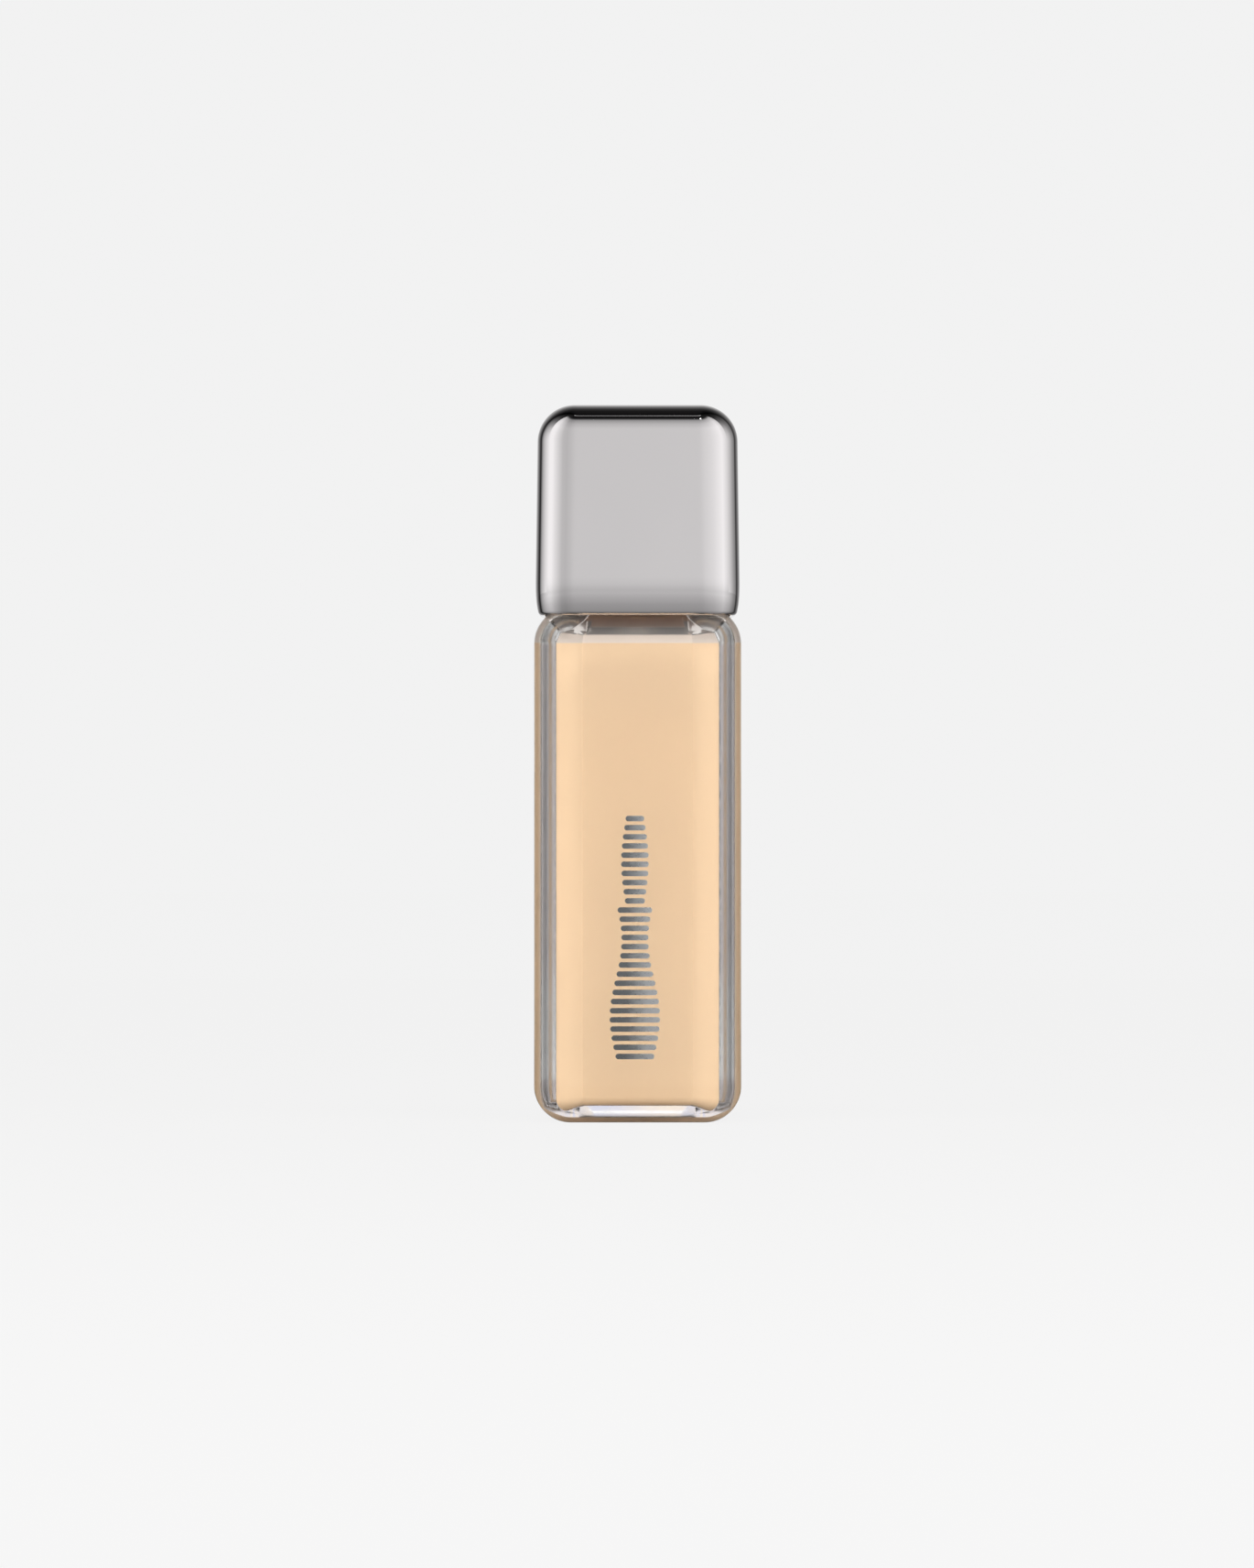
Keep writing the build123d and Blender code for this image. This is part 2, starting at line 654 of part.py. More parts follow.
# ---------------------------------------------------------------- cap liner
# A ring with upright grip ribs that slides over the collar, held in the shell by its square flange.
liner_flange_top_z = liner_flange_bottom_z + liner_flange_thickness
liner_width = cap_width_at(liner_flange_top_z) - 2 * cap_wall
liner_radius = liner_bore + liner_wall
rib_radius = liner_bore + liner_rib_root - sleeve_radius - liner_rib_gap
liner_rib_length = liner_flange_bottom_z - liner_bottom_z - liner_rib_bottom_gap - liner_rib_top_gap
with BuildPart() as cap_liner:
    with BuildSketch(Plane.XY.offset(liner_bottom_z)):
        Circle(liner_radius)
    extrude(amount=liner_flange_top_z - liner_bottom_z)
    with BuildSketch(Plane.XY.offset(liner_flange_bottom_z)):
        RectangleRounded(liner_width, liner_width, hollow_plan_radius)
    extrude(amount=liner_flange_thickness)
    with BuildSketch(Plane.XY.offset(liner_bottom_z)):
        Circle(liner_bore)
    extrude(amount=liner_flange_top_z - liner_bottom_z, mode=Mode.SUBTRACT)
    with BuildSketch(Plane.XY.offset(liner_bottom_z + liner_rib_bottom_gap)):
        with PolarLocations(liner_bore + liner_rib_root, liner_rib_count):
            Circle(rib_radius)
    extrude(amount=liner_rib_length)
cap_liner.part.label = "cap_liner"
export_step(cap_liner.part, "parts/cap_liner.step")
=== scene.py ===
from math import cos, pi, radians, sin, sqrt, tan

import bmesh
import bpy
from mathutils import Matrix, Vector


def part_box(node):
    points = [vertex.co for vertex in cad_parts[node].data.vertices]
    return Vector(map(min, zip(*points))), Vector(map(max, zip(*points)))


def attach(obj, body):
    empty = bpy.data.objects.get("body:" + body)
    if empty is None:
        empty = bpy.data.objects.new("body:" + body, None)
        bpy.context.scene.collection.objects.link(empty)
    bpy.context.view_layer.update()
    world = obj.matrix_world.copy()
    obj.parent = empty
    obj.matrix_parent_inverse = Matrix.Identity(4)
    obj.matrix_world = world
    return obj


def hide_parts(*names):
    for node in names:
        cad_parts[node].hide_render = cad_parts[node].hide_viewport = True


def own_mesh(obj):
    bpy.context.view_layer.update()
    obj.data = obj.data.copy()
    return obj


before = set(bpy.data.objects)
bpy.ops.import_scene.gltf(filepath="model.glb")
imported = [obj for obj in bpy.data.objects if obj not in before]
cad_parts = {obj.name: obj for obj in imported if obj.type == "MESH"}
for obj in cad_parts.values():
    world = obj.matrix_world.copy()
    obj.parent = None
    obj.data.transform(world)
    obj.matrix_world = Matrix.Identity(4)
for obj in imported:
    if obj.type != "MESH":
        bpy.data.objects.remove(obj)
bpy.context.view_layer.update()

# A square foundation bottle in thick clear glass with a mirror-silver cap. Metres, in the CAD frame, where
# +Z is up and -Y is the front. The glass, the liquid, the cap shell and the spring are remade here as smooth
# meshes. Every other piece keeps its CAD shape and gets its material here.

MM = 0.001

# ---------------------------------------------------------------- sizes, from the frame where it gives them
glass_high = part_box("bottle")[1]
label_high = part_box("base_label")[1]
cap_low, cap_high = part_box("cap_shell")
fill_low, fill_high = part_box("foundation_fill")
foil_low, foil_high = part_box("front_decoration")
spring_low, spring_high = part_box("return_spring")

GLASS_HALF = glass_high[0]
RIM_Z = glass_high[2]
SHOULDER_Z = 74.6 * MM
PLAN_RADIUS = 5.45 * MM
EDGE_ROUND = 5.3 * MM
NECK_RADIUS = 8.0 * MM
BORE_RADIUS = 5.9 * MM
BEAD_RADIUS = 8.7 * MM
BEAD_Z = 79.3 * MM
LABEL_RECESS = 8.6 * MM
LABEL_AIR = 0.05 * MM        # a thin film of air above the label keeps the glass face over it mirror-like
RECESS_DEPTH = label_high[2] + LABEL_AIR

CAVITY_HALF = fill_high[0]
CAVITY_CUT = 2.85 * MM
CAVITY_WALL_TOP = 69.35 * MM
ROOF_BEVEL = 0.4 * MM
ROOF_BEVEL_RISE = 0.85 * MM
CAVITY_FLOOR = fill_low[2]
CAVITY_ROOF = fill_high[2]
FLOOR_ROUND = 0.9 * MM
BARREL_RADIUS = 4.6 * MM
CHAMBER_RADIUS = 2.9 * MM
CHAMBER_TOP = 56.0 * MM
CHAMBER_BOTTOM = 50.4 * MM
TAIL_RADIUS = 2.3 * MM
WET_OVERLAP = 0.03 * MM      # the liquid's skin lies this far inside the glass, so no air shows between them

CAP_BOTTOM = cap_low[2]
CAP_TOP = cap_high[2]
CAP_HALF_TOP = 14.42 * MM
CAP_HALF_BOTTOM = 14.84 * MM
CAP_PLAN_RADIUS = 5.55 * MM
CAP_TOP_ROUND = 5.4 * MM
CAP_RIM_ROUND = 0.5 * MM
CROWN_HEIGHT = 5.6 * MM
CROWN_LEAN = 0.56 * MM
CAP_WALL = 1.4 * MM
CAP_INNER_ROUND = 3.8 * MM

SPRING_COIL = 2.85 * MM
SPRING_WIRE = 0.25 * MM
SPRING_TURNS = 6
WIRE_STEPS = 36              # rings of points in each turn of the spring
WIRE_SIDES = 12              # points round the wire

CORNER_STEPS = 28            # points round each upright corner
SIDE_STEPS = 9               # points along each flat side, between the corners
ARC_STEPS = 20               # rings over each rounded edge
SHARP_EDGE = radians(35)     # a steeper fold than this keeps its crease


# ---------------------------------------------------------------- mesh building
def spread(count):
    """Evenly spaced shares from 0 to 1, both ends included."""
    return [i / (count - 1) for i in range(count)]


def quarter(count):
    """Evenly spaced angles from 0 to a right angle, both ends included."""
    return [pi / 2 * share for share in spread(count)]


def quarter_turns(corner, side):
    """Repeats one corner's points and one side's points round the four quarters."""
    points = []
    for turn in range(4):
        c, s = cos(turn * pi / 2), sin(turn * pi / 2)
        points += [(x * c - y * s, x * s + y * c) for x, y in corner + side]
    return points


def side_points(start, end):
    """The points inside a flat side, crowded towards both ends so that the flat stays flat in shading."""
    shares = [0.5 - 0.5 * cos(pi * (i + 1) / (SIDE_STEPS + 1)) for i in range(SIDE_STEPS)]
    return [(start[0] + (end[0] - start[0]) * t, start[1] + (end[1] - start[1]) * t) for t in shares]


def rounded_square(half, radius):
    """Outline of a square with round corners."""
    centre = half - radius
    corner = [(centre + radius * cos(a), centre + radius * sin(a)) for a in quarter(CORNER_STEPS)]
    return quarter_turns(corner, side_points(corner[-1], (-centre, half)))


def cut_square(half, cut, soft):
    """Outline of a square whose corners are cut off, with each cut's two edges slightly rounded."""
    count = CORNER_STEPS // 4
    bend = radians(45)
    reach = soft * tan(bend / 2)
    first, second = (half, half - cut), (half - cut, half)
    slope = 1 / sqrt(2)
    corner = []
    for t in spread(count):
        a = bend * t
        corner.append((half - soft + soft * cos(a), first[1] - reach + soft * sin(a)))
    start, end = corner[-1], (second[0] + reach * slope, second[1] - reach * slope)
    inner = CORNER_STEPS - 2 * count
    for i in range(inner):
        t = (i + 1) / (inner + 1)
        corner.append((start[0] + (end[0] - start[0]) * t, start[1] + (end[1] - start[1]) * t))
    for t in spread(count):
        a = bend + bend * t
        corner.append((second[0] - reach + soft * cos(a), half - soft + soft * sin(a)))
    return quarter_turns(corner, side_points(corner[-1], (-first[1] + reach, half)))


def circle(radius):
    """Outline of a circle with the same count of points as the squares."""
    lean = radians(14)
    corner = [(radius * cos(a), radius * sin(a))
              for a in (lean + (pi / 2 - 2 * lean) * t for t in spread(CORNER_STEPS))]
    side = [(radius * cos(a), radius * sin(a))
            for a in (pi / 2 - lean + 2 * lean * (i + 1) / (SIDE_STEPS + 1) for i in range(SIDE_STEPS))]
    return quarter_turns(corner, side)


def stacked(name, rings):
    """A closed mesh from a list of (outline, height) rings, capped at its first and last ring."""
    mesh = bmesh.new()
    loops = [[mesh.verts.new((x, y, z)) for x, y in outline] for outline, z in rings]
    for low, high in zip(loops, loops[1:]):
        for i in range(len(low)):
            j = (i + 1) % len(low)
            mesh.faces.new((low[i], low[j], high[j], high[i]))
    for loop in (loops[0], loops[-1]):
        middle = mesh.verts.new(sum((v.co for v in loop), Vector()) / len(loop))
        for i in range(len(loop)):
            mesh.faces.new((loop[i], loop[(i + 1) % len(loop)], middle))
    bmesh.ops.recalc_face_normals(mesh, faces=mesh.faces)
    if mesh.calc_volume(signed=True) < 0:
        bmesh.ops.reverse_faces(mesh, faces=mesh.faces)
    return finished_mesh(name, mesh)


def finished_mesh(name, mesh):
    """Turns a bmesh into a smooth-shaded object whose flats keep their own normals."""
    data = bpy.data.meshes.new(name)
    for edge in mesh.edges:
        if len(edge.link_faces) == 2:
            edge.smooth = edge.calc_face_angle(0) < SHARP_EDGE
    mesh.to_mesh(data)
    mesh.free()
    data.polygons.foreach_set("use_smooth", [True] * len(data.polygons))
    piece = bpy.data.objects.new(name, data)
    bpy.context.scene.collection.objects.link(piece)
    weighted = piece.modifiers.new("flats keep their normals", "WEIGHTED_NORMAL")
    weighted.keep_sharp = True
    weighted.weight = 100
    return piece


# ---------------------------------------------------------------- material building
GLASS_IOR = 1.51
LIQUID_IOR = 1.40
CUT_FACE_PAINTED_LIGHT = 1.15         # painted light: the liquid's cut faces are painted this much lighter than its flat faces
ROOF_MIRROR = 0.55           # the share of the grazing reflection that the liquid's roof keeps


class Nodes:
    """A short way to make and link shader nodes."""

    def __init__(self, name, world=False):
        self.owner = bpy.data.worlds.new(name) if world else bpy.data.materials.new(name)
        self.owner.use_nodes = True
        self.tree = self.owner.node_tree
        self.tree.nodes.clear()

    def add(self, kind, inputs=None, **settings):
        node = self.tree.nodes.new(kind)
        for key, value in settings.items():
            setattr(node, key, value)
        for key, value in (inputs or {}).items():
            if isinstance(value, bpy.types.NodeSocket):
                self.tree.links.new(value, node.inputs[key])
            else:
                node.inputs[key].default_value = value
        return node

    def maths(self, operation, a, b=0.0):
        return self.add("ShaderNodeMath", {0: a, 1: b}, operation=operation).outputs[0]

    def noise(self, scale, detail=3.0, stretch=(1, 1, 1)):
        place = self.add("ShaderNodeTexCoord").outputs["Object"]
        mapping = self.add("ShaderNodeMapping", {"Vector": place, "Scale": stretch})
        settings = {"Vector": mapping.outputs[0], "Scale": scale, "Detail": detail}
        return self.add("ShaderNodeTexNoise", settings).outputs["Fac"]

    def span(self, value, low, high, from_low=0.3, from_high=0.7):
        return self.add("ShaderNodeMapRange", {"Value": value, "From Min": from_low, "From Max": from_high,
                                               "To Min": low, "To Max": high}).outputs[0]

    def ramp(self, value, stops):
        node = self.add("ShaderNodeValToRGB", {"Fac": value})
        band = node.color_ramp.elements
        while len(band) < len(stops):
            band.new(0.5)
        for element, (place, colour) in zip(band, stops):
            element.position = place
            element.color = (*colour, 1) if len(colour) == 3 else colour
        return node.outputs["Color"]

    def blend(self, share, first, second):
        """The first colour where the share is 0, the second where it is 1."""
        return self.add("ShaderNodeMix", {0: share, 6: first, 7: second}, data_type="RGBA").outputs[2]

    def bump(self, height, strength, distance):
        node = self.add("ShaderNodeBump", {"Height": height, "Strength": strength, "Distance": distance})
        return node.outputs[0]

    def vector_maths(self, operation, a, b):
        return self.add("ShaderNodeVectorMath", {0: a, 1: b}, operation=operation).outputs[0]

    def coordinates(self, kind="Object"):
        """The three parts of the place on the object, or of another kind of texture coordinate."""
        place = self.add("ShaderNodeTexCoord").outputs[kind]
        return self.add("ShaderNodeSeparateXYZ", {0: place}).outputs

    def azimuth(self, x, y):
        """The azimuth as a share of a full turn, from straight behind the object and past -X first."""
        angle = self.maths("ARCTAN2", x, self.maths("MULTIPLY", y, -1.0))
        return self.maths("ADD", self.maths("DIVIDE", angle, 2 * pi), 0.5)

    def surface(self, inputs):
        shader = self.add("ShaderNodeBsdfPrincipled", inputs)
        output = self.add("ShaderNodeOutputMaterial")
        self.tree.links.new(shader.outputs[0], output.inputs["Surface"])
        return self.owner


def shade(base, lighter):
    """A colour made lighter by a factor over 1, or darker by one under 1."""
    return tuple(min(1.0, c * lighter) for c in base)


def grey(level):
    """An even tone. A level that is a colour already stays as it is."""
    return level if isinstance(level, tuple) else (level, level, level)


def clear_glass():
    n = Nodes("clear_glass")
    draw = n.noise(90, 1.5, (1, 1, 0.25))
    film = n.noise(900, 4)
    return n.surface({
        "Base Color": n.ramp(film, [(0.3, (0.985, 0.99, 0.988)), (0.7, (0.998, 0.998, 0.998))]),
        "Roughness": n.span(film, 0.0, 0.012),
        "Normal": n.bump(draw, 0.05, 0.02 * MM),
        "Transmission Weight": 1.0,
        "IOR": GLASS_IOR,
    })


def foundation_liquid():
    """Opaque liquid that wets the glass. It bends light less than glass does, so from inside the glass a
    steep look shows its colour and a grazing look is mirrored. Its cut faces are painted lighter as painted
    light, its bevel a paler rim as a painted reflection, and its roof darker as painted shade under the cap."""
    n = Nodes("foundation_liquid")
    swirl = n.noise(45, 4, (1, 1, 0.5))
    fine = n.noise(700, 3)
    tone = (0.84, 0.612, 0.388)
    mirrored = n.add("ShaderNodeFresnel", {"IOR": LIQUID_IOR / GLASS_IOR}).outputs[0]
    flat_body = n.ramp(swirl, [(0.35, shade(tone, 0.985)), (0.65, shade(tone, 1.01))])
    height = n.coordinates()[2]
    face_x, face_y, _ = n.coordinates("Normal")
    turned = n.maths("ABSOLUTE", n.maths("MULTIPLY", face_x, face_y))    # 0 on flat faces, 0.5 on cut faces
    # Painted light: the cut faces get a lighter base colour, standing in for the side light that falls on
    # them
    painted_light_at_cut = n.span(turned, 0.0, 1.0, 0.10, 0.5)
    body = n.blend(painted_light_at_cut, flat_body, (*shade(tone, CUT_FACE_PAINTED_LIGHT), 1))
    # Painted reflection: the bevel's pale grey-beige rim colour stands in for the pale band mirrored in the
    # glass above the liquid's top edge
    rim = n.ramp(swirl, [(0.35, (0.80, 0.69, 0.60)), (0.65, (0.82, 0.72, 0.63))])
    # Painted shade: the liquid's roof is painted a darker brown, standing in for the shade under the cap
    roof_painted_shade = n.ramp(swirl, [(0.35, (0.50, 0.33, 0.25)), (0.65, (0.62, 0.43, 0.33))])
    at_painted_rim_reflection = n.span(height, 0.0, 1.0, CAVITY_WALL_TOP - 0.05 * MM, CAVITY_WALL_TOP + 0.03 * MM)
    roof_edge = CAVITY_WALL_TOP + ROOF_BEVEL_RISE
    on_roof = n.span(height, 0.0, 1.0, roof_edge, roof_edge + 0.05 * MM)
    at_roof_painted_shade = n.span(height, 0.0, 1.0, roof_edge + 0.1 * MM, roof_edge + 0.6 * MM)
    colour = n.blend(at_roof_painted_shade, n.blend(at_painted_rim_reflection, body, rim), roof_painted_shade)
    graze = n.maths("MULTIPLY", mirrored, n.span(on_roof, 1.0, ROOF_MIRROR, 0.0, 1.0))
    return n.surface({
        "Base Color": n.blend(graze, colour, (1, 1, 1, 1)),
        "Metallic": graze,
        "Roughness": n.span(fine, 0.05, 0.10),
        "IOR": 1.0,
    })


def mirror_silver():
    n = Nodes("mirror_silver")
    flow = n.noise(60, 2)
    fine = n.noise(1500, 5)
    return n.surface({
        "Base Color": n.ramp(flow, [(0.3, (0.625, 0.605, 0.610)), (0.7, (0.640, 0.618, 0.622))]),
        "Metallic": 1.0,
        "Roughness": n.span(fine, 0.028, 0.05),
        "Normal": n.bump(flow, 0.04, 0.02 * MM),
    })


def anodised_silver():
    n = Nodes("anodised_silver")
    turned = n.noise(400, 3, (1, 1, 14))
    fine = n.noise(1800, 4)
    return n.surface({
        "Base Color": n.ramp(fine, [(0.3, (0.66, 0.65, 0.65)), (0.7, (0.72, 0.71, 0.71))]),
        "Metallic": 1.0,
        "Roughness": n.span(turned, 0.10, 0.18),
        "Normal": n.bump(turned, 0.06, 0.01 * MM),
    })


def hot_foil():
    n = Nodes("hot_foil")
    # Painted reflection: the foil's base colour runs from dark at -X to light at +X, standing in for the
    # studio light it mirrors; the grain on top is its own
    painted_reflection_across = n.span(n.coordinates()[0], 0.0, 1.0, foil_low[0], foil_high[0])
    grain = n.noise(2500, 4, (0.4, 1, 1))
    uneven = n.maths("ADD", painted_reflection_across, n.span(grain, -0.07, 0.07))
    return n.surface({
        "Base Color": n.ramp(uneven, [(0.0, (0.17, 0.18, 0.185)), (0.35, (0.19, 0.20, 0.205)),
                                      (0.75, (0.50, 0.51, 0.52)), (1.0, (0.58, 0.59, 0.60))]),
        "Metallic": 1.0,
        "Roughness": n.span(grain, 0.22, 0.38),
        "Normal": n.bump(grain, 0.15, 0.01 * MM),
    })


def moulded_plastic(name, tone, rough, soft=0.0):
    n = Nodes(name)
    flow = n.noise(120, 3)
    grain = n.noise(3000, 3)
    return n.surface({
        "Base Color": n.ramp(flow, [(0.3, shade(tone, 0.96)), (0.7, shade(tone, 1.03))]),
        "Roughness": n.span(grain, rough - 0.05, rough + 0.08),
        "Normal": n.bump(grain, 0.12, 0.01 * MM),
        "IOR": 1.49,
        "Subsurface Weight": soft,
        "Subsurface Radius": (1.0, 0.9, 0.8),
        "Subsurface Scale": 0.6 * MM,
    })


def bright_steel(name, rough, along):
    n = Nodes(name)
    drawn = n.noise(900, 4, along)
    return n.surface({
        "Base Color": n.ramp(drawn, [(0.3, (0.50, 0.50, 0.51)), (0.7, (0.60, 0.60, 0.61))]),
        "Metallic": 1.0,
        "Roughness": n.span(drawn, rough - 0.04, rough + 0.08),
        "Normal": n.bump(drawn, 0.1, 0.01 * MM),
    })


def label_film():
    n = Nodes("label_film")
    fibre = n.noise(1400, 5)
    return n.surface({
        "Base Color": n.ramp(fibre, [(0.3, (0.80, 0.80, 0.79)), (0.7, (0.86, 0.86, 0.85))]),
        "Roughness": n.span(fibre, 0.45, 0.6),
        "Normal": n.bump(fibre, 0.1, 0.01 * MM),
    })


def dress(piece, material):
    """Gives a piece, or a carried-over CAD node, one material."""
    piece.data.materials.clear()
    piece.data.materials.append(material)


# ---------------------------------------------------------------- glass
def make_bottle(material):
    r = EDGE_ROUND
    wall_top = SHOULDER_Z - r
    outer = [(r - r * sin(a), r - r * cos(a)) for a in quarter(ARC_STEPS)]
    outer += [(0, r + 0.4 * MM), (0, wall_top * 0.5), (0, wall_top - 0.4 * MM)]
    outer += [(r - r * cos(a), wall_top + r * sin(a)) for a in quarter(ARC_STEPS)]
    soft = 0.1 * MM
    rings = [
        (circle(LABEL_RECESS * 0.5), RECESS_DEPTH),
        (circle(LABEL_RECESS - 2 * soft), RECESS_DEPTH),
        (circle(LABEL_RECESS - 0.5 * soft), RECESS_DEPTH - soft),
        (circle(LABEL_RECESS), soft),
        (circle(LABEL_RECESS + 1.5 * soft), 0),
    ]
    rings += [(rounded_square(GLASS_HALF - inset, PLAN_RADIUS - inset), z) for inset, z in outer]
    foot = 0.6 * MM
    rings.append((circle(NECK_RADIUS + foot + 0.3 * MM), SHOULDER_Z))
    rings += [(circle(NECK_RADIUS + foot * (1 - sin(a))), SHOULDER_Z + foot * (1 - cos(a)))
              for a in quarter(8)]
    bead = BEAD_RADIUS - NECK_RADIUS
    rings.append((circle(NECK_RADIUS), BEAD_Z - 0.1 * MM))
    rings += [(circle(NECK_RADIUS + bead * sin(pi * t) ** 0.6), BEAD_Z + 1.2 * MM * t) for t in spread(11)]
    rings.append((circle(NECK_RADIUS), BEAD_Z + 1.3 * MM))
    lip = 0.5 * MM
    rings += [(circle(NECK_RADIUS - lip * (1 - cos(a))), RIM_Z - lip + lip * sin(a)) for a in quarter(7)]
    rings += [
        (circle(BORE_RADIUS + 0.2 * MM), RIM_Z),
        (circle(BORE_RADIUS), RIM_Z - 0.2 * MM),
        (circle(BORE_RADIUS), CAVITY_ROOF + 0.3 * MM),
        (circle(BORE_RADIUS + 0.02 * MM), CAVITY_ROOF + 0.08 * MM),
    ]
    rings += cavity_rings(0)
    piece = stacked("glass_body", rings)
    dress(piece, material)
    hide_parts("bottle")
    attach(piece, "bottle_body")


def cavity_rings(grow):
    """The cavity's surface from its roof down to its floor, grown outwards a little for the liquid's skin."""
    half = CAVITY_HALF + grow
    roof, floor = CAVITY_ROOF + grow, CAVITY_FLOOR - grow
    soft = 0.3 * MM

    def outline(inset):
        """The cavity's plan moved inwards evenly, so that its cut corners get narrower."""
        return cut_square(half - inset, CAVITY_CUT - inset * (2 - sqrt(2)), soft)

    bevel_z = CAVITY_WALL_TOP + ROOF_BEVEL_RISE + grow
    steps = [(1.0, 0.0), (0.75, 0.25), (0.5, 0.5), (0.25, 0.75), (0.03, 0.97)]
    rings = [(outline(ROOF_BEVEL + (CAVITY_HALF - BORE_RADIUS - ROOF_BEVEL) * share),
              roof - (roof - bevel_z) * down) for share, down in steps]
    rings += [
        (outline(ROOF_BEVEL * 0.94), bevel_z - ROOF_BEVEL_RISE * 0.06),
        (outline(ROOF_BEVEL * 0.5), bevel_z - ROOF_BEVEL_RISE * 0.5),
        (outline(ROOF_BEVEL * 0.06), bevel_z - ROOF_BEVEL_RISE * 0.94),
        (outline(0), CAVITY_WALL_TOP - 0.1 * MM),
        (outline(0), CAVITY_WALL_TOP - 0.8 * MM),
        (outline(0), (roof + floor) / 2),
    ]
    rings += [(outline(FLOOR_ROUND * (1 - cos(a))), floor + FLOOR_ROUND * (1 - sin(a))) for a in quarter(12)]
    rings.append((outline(half * 0.4), floor))
    return rings


def make_fill(material):
    gap = 0.02 * MM
    tube_low, tube_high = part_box("dip_tube")
    tail_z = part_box("pump_housing")[0][2]
    pump_steps = [
        (tube_high[0], tube_low[2]), (tube_high[0], tail_z), (TAIL_RADIUS, tail_z),
        (TAIL_RADIUS, CHAMBER_BOTTOM), (CHAMBER_RADIUS, CHAMBER_BOTTOM), (CHAMBER_RADIUS, CHAMBER_TOP),
        (BARREL_RADIUS, CHAMBER_TOP + 1 * MM), (BARREL_RADIUS, CAVITY_ROOF + WET_OVERLAP),
    ]
    round_pump = [(circle(radius + gap), z) for radius, z in pump_steps]
    round_pump.insert(0, (circle(tube_high[0] * 0.5), tube_low[2]))
    piece = stacked("liquid_foundation", round_pump + cavity_rings(WET_OVERLAP))
    dress(piece, material)
    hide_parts("foundation_fill")
    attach(piece, "bottle_body")


# ---------------------------------------------------------------- cap
def make_cap(material):
    side_low, side_high = CAP_BOTTOM + CAP_RIM_ROUND, CAP_TOP - CAP_TOP_ROUND

    def half_at(z):
        share = (z - CAP_BOTTOM) / (CAP_TOP - CAP_BOTTOM)
        return CAP_HALF_BOTTOM + (CAP_HALF_TOP - CAP_HALF_BOTTOM) * share

    def crown_at(z):
        """How far the side leans in below the start of the crown, more and more towards the rim."""
        return CROWN_LEAN * max(0, 1 - (z - CAP_BOTTOM) / CROWN_HEIGHT) ** 3

    r = CAP_TOP_ROUND
    rings = [(rounded_square(CAP_HALF_TOP - r - 3 * MM, CAP_PLAN_RADIUS - r + 0.02 * MM), CAP_TOP)]
    rings += [
        (rounded_square(half_at(side_high) - r + r * sin(a), CAP_PLAN_RADIUS - r + r * sin(a)),
         side_high + r * cos(a))
        for a in quarter(ARC_STEPS + 6)
    ]
    crown_top = CAP_BOTTOM + CROWN_HEIGHT
    for share in (0.02, 0.2, 0.4, 0.6, 0.8, 1.0):
        z = side_high + (crown_top - side_high) * share
        rings.append((rounded_square(half_at(z), CAP_PLAN_RADIUS), z))
    rim = CAP_RIM_ROUND
    for share in (0.8, 0.6, 0.45, 0.3, 0.2, 0.1, 0.03):
        z = side_low + (CROWN_HEIGHT - rim) * share
        inset = crown_at(z)
        rings.append((rounded_square(half_at(z) - inset, CAP_PLAN_RADIUS - inset), z))
    for a in quarter(12):
        z = side_low - rim * sin(a)
        inset = crown_at(z) + rim * (1 - cos(a))
        rings.append((rounded_square(half_at(side_low) - inset, CAP_PLAN_RADIUS - inset), z))
    inner_radius = CAP_PLAN_RADIUS - CAP_WALL
    ceiling = CAP_TOP - CAP_WALL
    q = CAP_INNER_ROUND
    inner_high = ceiling - q
    rings += [
        (rounded_square(half_at(CAP_BOTTOM) - CAP_WALL, inner_radius), CAP_BOTTOM + 0.05 * MM),
        (rounded_square(half_at(inner_high) - CAP_WALL, inner_radius), inner_high),
    ]
    rings += [
        (rounded_square(half_at(inner_high) - CAP_WALL - q * (1 - cos(a)), inner_radius - q * (1 - cos(a))),
         inner_high + q * sin(a))
        for a in quarter(10)
    ]
    piece = stacked("mirror_cap", rings)
    dress(piece, material)
    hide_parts("cap_shell")
    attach(piece, "cap")


# ---------------------------------------------------------------- return spring
def make_spring(material):
    """The pump's spring as one coiled wire."""
    foot = spring_low[2]
    height = spring_high[2] - foot
    climb = height - 2 * SPRING_WIRE
    turned = 2 * pi * SPRING_TURNS
    mesh = bmesh.new()
    loops = []
    for t in spread(SPRING_TURNS * WIRE_STEPS + 1):
        a = turned * t
        out = Vector((cos(a), sin(a), 0))
        along = Vector((-sin(a), cos(a), climb / (turned * SPRING_COIL))).normalized()
        side = along.cross(out)
        centre = SPRING_COIL * out + Vector((0, 0, foot + SPRING_WIRE + climb * t))
        loops.append([mesh.verts.new(centre + SPRING_WIRE * (cos(b) * out + sin(b) * side))
                      for b in (2 * pi * i / WIRE_SIDES for i in range(WIRE_SIDES))])
    for first, second in zip(loops, loops[1:]):
        for i in range(WIRE_SIDES):
            j = (i + 1) % WIRE_SIDES
            mesh.faces.new((first[i], first[j], second[j], second[i]))
    mesh.faces.new(loops[0])
    mesh.faces.new(loops[-1])
    bmesh.ops.recalc_face_normals(mesh, faces=mesh.faces)
    piece = finished_mesh("spring_coil", mesh)
    dress(piece, material)
    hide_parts("return_spring")
    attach(piece, "bottle_body")
    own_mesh(piece)


